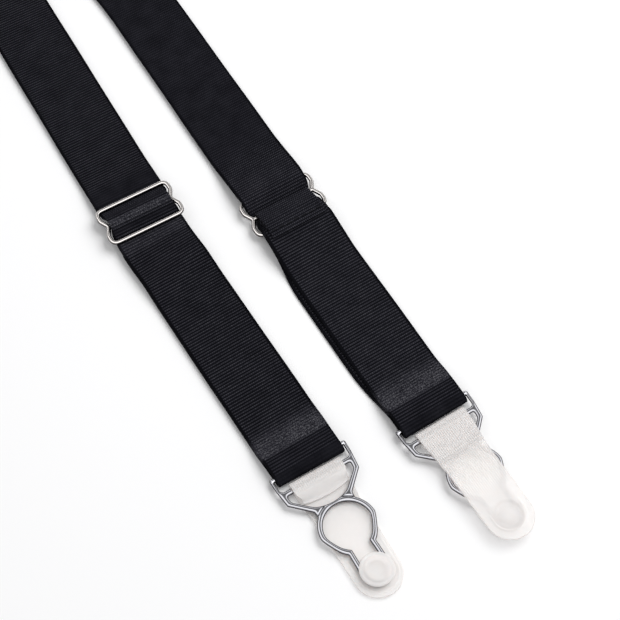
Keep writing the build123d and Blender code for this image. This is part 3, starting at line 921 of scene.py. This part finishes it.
def inside(points, loop):
    """Which points lie in a closed outline."""
    x, y = points[:, 0], points[:, 1]
    found = np.zeros(len(points), bool)
    for (x0, y0), (x1, y1) in zip(loop, np.roll(loop, -1, 0)):
        if y0 != y1:
            found ^= ((y0 > y) != (y1 > y)) & (x < (x1 - x0) * (y - y0) / (y1 - y0) + x0)
    return found


def nearest_edge(points, loops):
    """The nearest point on any outline, and the distance to it."""
    line = np.vstack([resample(np.vstack((loop, loop[:1])), 0.03)[0] for loop in loops])
    tree = KDTree(len(line))
    for i, (x, y) in enumerate(line):
        tree.insert((x, y, 0.0), i)
    tree.balance()
    found = [tree.find((x, y, 0.0)) for x, y in points]
    return line[[f[1] for f in found]], np.array([f[2] for f in found])


def limb_height(distance):
    """Half the frame's thickness in from its edge: rounded shoulders, a nearly flat crown."""
    t = np.clip(distance / PLATE_SHOULDER, 0, 1)
    return PLATE_RIM + (PLATE_HALF - PLATE_RIM) * np.sqrt(1 - (1 - t) ** 2)


def clip_plate():
    """The stamped plate's skin, from a grid whose rim is pulled onto the outlines."""
    loops = frame_outlines()
    xs = np.arange(-FRAME_HALF - 0.4, FRAME_HALF + 0.4, FRAME_GRID)
    ys = np.arange(-BUTTON_SEAT - NECK_OUTER - 0.4, 1.4, FRAME_GRID)
    grid = np.stack(np.meshgrid(xs, ys, indexing="ij"), 2).reshape(-1, 2)
    edge, distance = nearest_edge(grid, loops)
    solid = inside(grid, loops[0])
    for hole in loops[1:]:
        solid &= ~inside(grid, hole)
    core = solid & (distance > FRAME_GRID * 0.3)
    at = np.where(core[:, None], grid, edge)
    depth = np.where(core, distance, 0.0)
    core = core.reshape(len(xs), len(ys))
    cell = core[:-1, :-1] | core[1:, :-1] | core[:-1, 1:] | core[1:, 1:]
    index = np.arange(len(grid)).reshape(len(xs), len(ys))
    quads = np.stack((index[:-1, :-1], index[1:, :-1], index[1:, 1:], index[:-1, 1:]), 2)[cell]
    used = np.unique(quads)
    number = np.full(len(grid), -1)
    number[used] = np.arange(len(used))
    quads = number[quads]
    at, depth = at[used], depth[used]

    # pressed in a little where the limbs meet the ring
    from_ring = np.hypot(at[:, 0], at[:, 1] + RING_CENTRE) - RING_OUTER
    web = smoothstep(depth, 0.25, 0.7) * (at[:, 1] > -RING_CENTRE)
    height = limb_height(depth) - CREASE * web * hump(from_ring, 0.0, CREASE_WIDTH)
    verts = np.vstack((np.column_stack((at, height)), np.column_stack((at, -height))))
    return verts, two_sided(quads, len(used))


PLATE_SKIN = clip_plate()


def clip_metal(name, where):
    """The stamped plate with its round top bar, fused into one plated skin."""
    bar = [(x, 0) for x in np.linspace(-SLOT_HALF - 0.6, SLOT_HALF + 0.6, 60)]
    obj = fused(f"{name}_garter_metal", [PLATE_SKIN, tube(bar, TOP_BAR)], 0.11, 5, where, chrome,
                "chrome_plate", 0.70)
    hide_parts(f"{name}_clip_frame")
    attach(obj, f"{name}_clip")


def sheet_shell(top, bottom):
    """A closed shell from two grids of the same size."""
    rows, columns = top.shape[:2]
    index = np.arange(rows * columns).reshape(rows, columns)
    quads = np.stack((index[:-1, :-1], index[:-1, 1:], index[1:, 1:], index[1:, :-1]), 2)
    verts = np.vstack((top.reshape(-1, 3), bottom.reshape(-1, 3)))
    return verts, two_sided(quads.reshape(-1, 4), rows * columns)


def tab_half(depth):
    """Half the tab's width: narrowing to its neck, then nearly straight to a round tip."""
    depth = np.asarray(depth, float)
    body = np.where(depth < TAB_NECK, WRAP_HALF - (depth - 8.0) * 0.09,
                    8.2 - (depth - TAB_NECK) * 0.009)
    tip = np.sqrt(np.clip(TIP_RADIUS**2 - (depth - TIP_CENTRE) ** 2, 1e-4, None))
    return np.where(depth > TIP_CENTRE, tip, body)


def tab_ribs(x, fade):
    """The height of the fine ribs along the tab, and how deep between them each point lies."""
    wave = np.cos(TURN * x / TAB_RIB)
    return TAB_RIB_HEIGHT * fade * wave, 0.5 - 0.5 * wave


def tab_wrap(name, where):
    """The ribbed end of the tab, folded over the middle bar and welded to itself."""
    over = [(-MIDDLE_BAR + 2.1 * math.cos(a), 1.5 * math.sin(a))
            for a in angles(90, -90, 25)]
    line = [*FLAP, *over, (-STRIP_START - 0.25, -1.5)]
    line = blurred(resample(line, 0.25)[0], 0.25, 0.35)
    depth = -line[:, 0]
    order = np.arange(len(line))
    flap_side, plate = order < len(line) * 0.35, order > len(line) * 0.6
    flap = smoothstep(depth, 7.5, 10.5) * flap_side
    half = np.where(plate, np.minimum(WRAP_HALF, tab_half(depth)), WRAP_HALF - flap)
    thick = np.where(plate, 0.38 - 0.05 * smoothstep(depth, 15.8, STRIP_START), 0.4 - 0.1 * flap)
    along = unit(np.gradient(line, axis=0))
    normal = np.stack((-along[:, 1], along[:, 0]), 1)
    t = np.linspace(-1, 1, 131)
    x = half[:, None] * t[None]
    inner = thick[:, None] - edge_drop(half[:, None] * (1 - np.abs(t)), WRAP_EDGE)
    weld = (sum(hump(depth, at, 0.26) for at in WELD_ROWS) * plate)[:, None]
    fold = (0.10 * hump(depth, 7.9, 0.3) * ~plate)[:, None]
    fade = np.where(plate, 1.0, 0.5 * (1 - smoothstep(depth, 6.2, 8.2) * flap_side))[:, None]
    ribs, between = tab_ribs(x, fade)
    outer = inner + ribs - 0.07 * weld - fold
    bow = 1.1 * t**2 * (smoothstep(depth, 9.0, 12.5) * flap_side)[:, None]
    bowed = line[:, :1] + bow
    grids = [np.stack((x, bowed + normal[:, :1] * offset, line[:, 1:] + normal[:, 1:] * offset), 2)
             for offset in (outer, -inner)]
    verts, faces = sheet_shell(*grids)
    obj = make(f"{name}_tab_wrap", to_frame(verts, where), faces, ribbed, "ribbed_clear_plastic")
    # painted shade between the ribs, where the wrap lies over the middle bar, and along the weld
    # rows
    on_bar = hump(line[:, :1], -MIDDLE_BAR, 0.8, 4)
    grooves = between * fade * 0.8 + 0.6 * on_bar + 0.9 * weld * (1 - between)
    store(obj.data, "groove", (np.clip(grooves, 0, 1), np.zeros_like(x)))
    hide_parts(f"{name}_tab_band")
    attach(obj, f"{name}_tab")


def tab_body(name, where):
    """The smooth length of the tab, with a rim round the button and a dimple behind it."""
    straight = np.linspace(STRIP_START, TIP_CENTRE, 70)
    rounded_tip = TIP_CENTRE + TIP_RADIUS * np.sin(np.linspace(0, math.pi / 2, 34))[1:]
    depth = np.concatenate((straight, rounded_tip))[:, None]
    t = np.linspace(-1, 1, 151)[None]
    half = tab_half(depth)
    x = half * t
    from_tip = np.hypot(x, np.clip(depth - TIP_CENTRE, 0, None))
    edge = np.where(depth > TIP_CENTRE, TIP_RADIUS - from_tip, half * (1 - np.abs(t)))
    drop = edge_drop(edge, TAB_EDGE)
    rim = 0.16 * hump(edge, 1.5, 0.34) * smoothstep(depth, 31.0, 36.0)
    from_button = np.hypot(x, depth - BUTTON_SEAT)
    dimple = 0.17 * (1 - smoothstep(from_button, 3.6, 4.9))
    from_axis = np.where(depth > BUTTON_SEAT, from_button, np.abs(x))
    bead = 0.17 * hump(from_axis, 5.5, 0.36) * smoothstep(depth, 37.5, 40.5)
    fade = 1 - smoothstep(depth, 20.0, 34.0)
    ribs, between = tab_ribs(x, fade)
    y = np.broadcast_to(-depth, x.shape)
    front = np.stack((x, y, TAB_FACE - drop + rim), 2)
    back = np.stack((x, y, TAB_BACK + drop + dimple - bead + ribs), 2)
    verts, faces = sheet_shell(front, back)
    obj = make(f"{name}_tab_body", to_frame(verts, where), faces, clear, "clear_plastic")
    # painted shade between the ribs, round the dimple's wall and inside the bead
    wall = 0.50 * hump(from_button, 4.3, 0.55)
    inner_bead = 0.40 * hump(from_axis, 4.95, 0.4) * smoothstep(depth, 35.0, 39.0)
    grooves = np.clip(between * fade * 0.8 + wall + inner_bead, 0, 1)
    store(obj.data, "groove", (np.zeros_like(x), grooves))
    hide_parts(f"{name}_tab_strip", f"{name}_tab_end")
    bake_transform(obj)


def button_head(name, where):
    """Shank, flange and low domed head, turned round the button's own axis."""
    line = blurred(resample(BUTTON, 0.22)[0], 0.22, 0.16)
    turns = np.linspace(0, TURN, 56, endpoint=False)
    rings = np.zeros((len(line), len(turns), 3))
    rings[:, :, 0] = line[:, :1] * np.cos(turns)
    rings[:, :, 1] = -BUTTON_SEAT + line[:, :1] * np.sin(turns)
    rings[:, :, 2] = line[:, 1:]
    obj = make(f"{name}_button_head", to_frame(rings.reshape(-1, 3), where),
               capped_faces(len(line), len(turns)), clear, "clear_plastic")
    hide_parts(f"{name}_button")
    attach(obj, f"{name}_tab_end")


def clip(name, up):
    hinge = JOINTS[f"{name}_clip_hinge"]
    where = place(hinge["pos_m"], hinge["axis"], up)
    for build in (clip_metal, tab_wrap, tab_body, button_head):
        build(name, where)


# ---- patch
def patch_outline(inset):
    """The patch's rounded outline in the row's frame, mm."""
    corners = mirrored([(PATCH_HIGH_HALF - inset, PATCH_HIGH - inset),
                        (PATCH_LOW_HALF - inset, PATCH_LOW + PATCH_SHOULDER),
                        (PATCH_LOW_HALF - inset, PATCH_LOW + inset)])
    line = bent(corners, [PATCH_CORNER - inset] * len(corners), 10)
    return line + drawing_origin() + np.array((PATCH_X, 0))


def patch_layer(name, node, top, face_up):
    """A leather layer, rounded at its edge and pressed down along the stitching."""
    outer = resample(patch_outline(0.0), 0.6)[0][:-1]
    middle = outer.mean(0)
    rim = 1 - np.array([0, 0.12, 0.3, 0.55, 0.9, 1.4]) / 24.0
    shrink = np.concatenate((rim, np.linspace(0.925, 0.02, 40)))
    rings = middle + (outer - middle)[None] * shrink[:, None, None]
    reach = np.linalg.norm(outer - middle, axis=1)
    inward = (1 - shrink)[:, None] * reach[None] * 0.86
    drop = edge_drop(inward, PATCH_EDGE)
    groove = 0.14 * hump(inward, 2.0, 0.5)
    pillow = 0.03 * np.sin(rings[:, :, 0] / 5.0) * np.sin(rings[:, :, 1] / 6.0)
    sides = [top - drop - groove + pillow - 0.03, top - PATCH_THICK + drop]
    if not face_up:
        sides = [2 * top - PATCH_THICK - z for z in sides]
    shells = [np.concatenate((rings, z[:, :, None]), axis=2).reshape(-1, 3) for z in sides]
    count, n = len(outer), len(shells[0])
    faces = []
    for start in (0, n):
        faces += [tuple(start + i for i in f) for f in ring_faces(len(shrink), count)]
        faces.append(tuple(start + n - count + i for i in range(count)))
    faces += [(i, (i + 1) % count, n + (i + 1) % count, n + i) for i in range(count)]
    obj = make(name, np.vstack(shells) * MM, faces, leather, "patch_leather")
    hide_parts(node)
    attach(obj, "straps")


def patch():
    """Two layers of leather, sewn together over the straps' ends."""
    half = LAYER_PITCH / 2
    top = FLAT_LEVEL + half + PATCH_THICK
    patch_layer("patch_leather_top", "patch_front", top, True)
    patch_layer("patch_leather_under", "patch_back", FLAT_LEVEL - half, False)
    line, run = resample(patch_outline(2.0), 0.1)
    count = int(run[-1] / PATCH_PITCH)
    threads = []
    for i in range(count):
        k = int(i / count * (len(line) - 1))
        ahead = line[(k + 4) % len(line)] - line[k]
        turn = math.atan2(ahead[1], ahead[0])
        threads.append(stitch(*line[k], top - 0.1, turn, PATCH_STITCH, 1))
    stitching("patch_thread", threads, "straps", "patch_stitches")


# ---- studio
CAMERA_AZIMUTH, CAMERA_ELEVATION = -34.0, 62.0
CAMERA_DISTANCE = 0.540
CAMERA_LENS, CAMERA_SENSOR = 94.1, 36.0
TARGET_FROM_SLIDER = (0.0283, -0.0620)
FLOOR_HALF = 4.0
# each lamp's place from the target, its size and its power
LAMPS = {"key": ((0.68, 0.05, 0.97), 1.0, 11.2), "fill": ((-0.5, 0.6, 0.9), 0.9, 1.0)}
ROOM = (0.49, 0.49, 0.495)
# grey levels by height, and by the angle to a direction overhead
LOW_SKY = ((0.0, 0.80), (0.07, 0.45), (0.13, 0.04), (0.42, 0.05), (0.58, 1.35))
DARK_SIDE = (0.26, 0.39, 0.88)
TOP_SKY = ((0.0, 1.0), (0.87, 1.0), (0.94, 0.18), (0.98, 0.11))


def aim(obj, location, direction):
    """Puts a camera or lamp at a place, looking along a direction."""
    obj.location = location
    obj.rotation_mode = "QUATERNION"
    obj.rotation_quaternion = direction.to_track_quat("-Z", "Y")


def camera(target):
    a, e = math.radians(CAMERA_AZIMUTH), math.radians(CAMERA_ELEVATION)
    back = Vector((math.sin(a) * math.cos(e), -math.cos(a) * math.cos(e), math.sin(e)))
    obj = linked("camera", bpy.data.cameras.new("camera"))
    aim(obj, target + back * CAMERA_DISTANCE, -back)
    obj.data.lens = CAMERA_LENS
    obj.data.sensor_width = CAMERA_SENSOR
    obj.data.clip_start = 0.01
    bpy.context.scene.camera = obj


def floor():
    corners = [(x * FLOOR_HALF, y * FLOOR_HALF, 0) for x, y in ((-1, -1), (1, -1), (1, 1), (-1, 1))]
    mesh = bpy.data.meshes.new("floor")
    mesh.from_pydata(corners, [], [(0, 1, 2, 3)])
    mesh.materials.append(floor_material())
    linked("floor", mesh)


def lamp(name, target, offset, size, power):
    light = bpy.data.lights.new(name, "AREA")
    light.shape = "DISK"
    light.size = size
    light.energy = power
    obj = linked(name, light)
    obj.visible_glossy = False
    aim(obj, target + Vector(offset), -Vector(offset))


def world():
    """An even pale room. Metal also sees a dark low horizon and a dark side overhead."""
    sky = Nodes(bpy.data.worlds.new("studio"), "Background")
    bpy.context.scene.world = sky.owner

    def shade(source, stops):
        return sky.ramp(source, [(at, (value, value, value * 1.01)) for at, value in stops])

    coords = sky.node("TexCoord", out="Generated")
    overhead = sky.node("VectorMath", {0: coords, 1: DARK_SIDE}, out="Value",
                        operation="DOT_PRODUCT")
    seen = sky.mix(1.0, shade(sky.split(coords)[2], LOW_SKY), shade(overhead, TOP_SKY),
                   blend_type="MULTIPLY")
    sky.finish(Color=sky.mix(sky.node("LightPath", out="Is Glossy Ray"), ROOM, seen))


def studio():
    low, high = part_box("left_slider_bar")
    middle = (low + high) / 2
    target = Vector((middle.x + TARGET_FROM_SLIDER[0], middle.y + TARGET_FROM_SLIDER[1], 0.0))
    camera(target)
    floor()
    for name, facts in LAMPS.items():
        lamp(name, target, *facts)
    world()
    bpy.context.scene.view_settings.view_transform = "Standard"


for arm_name, arm_facts in ARMS.items():
    front_arm(arm_name, arm_facts)
back_strap()
clip("left", 1)
clip("right", -1)
clip("back", 1)
patch()
studio()
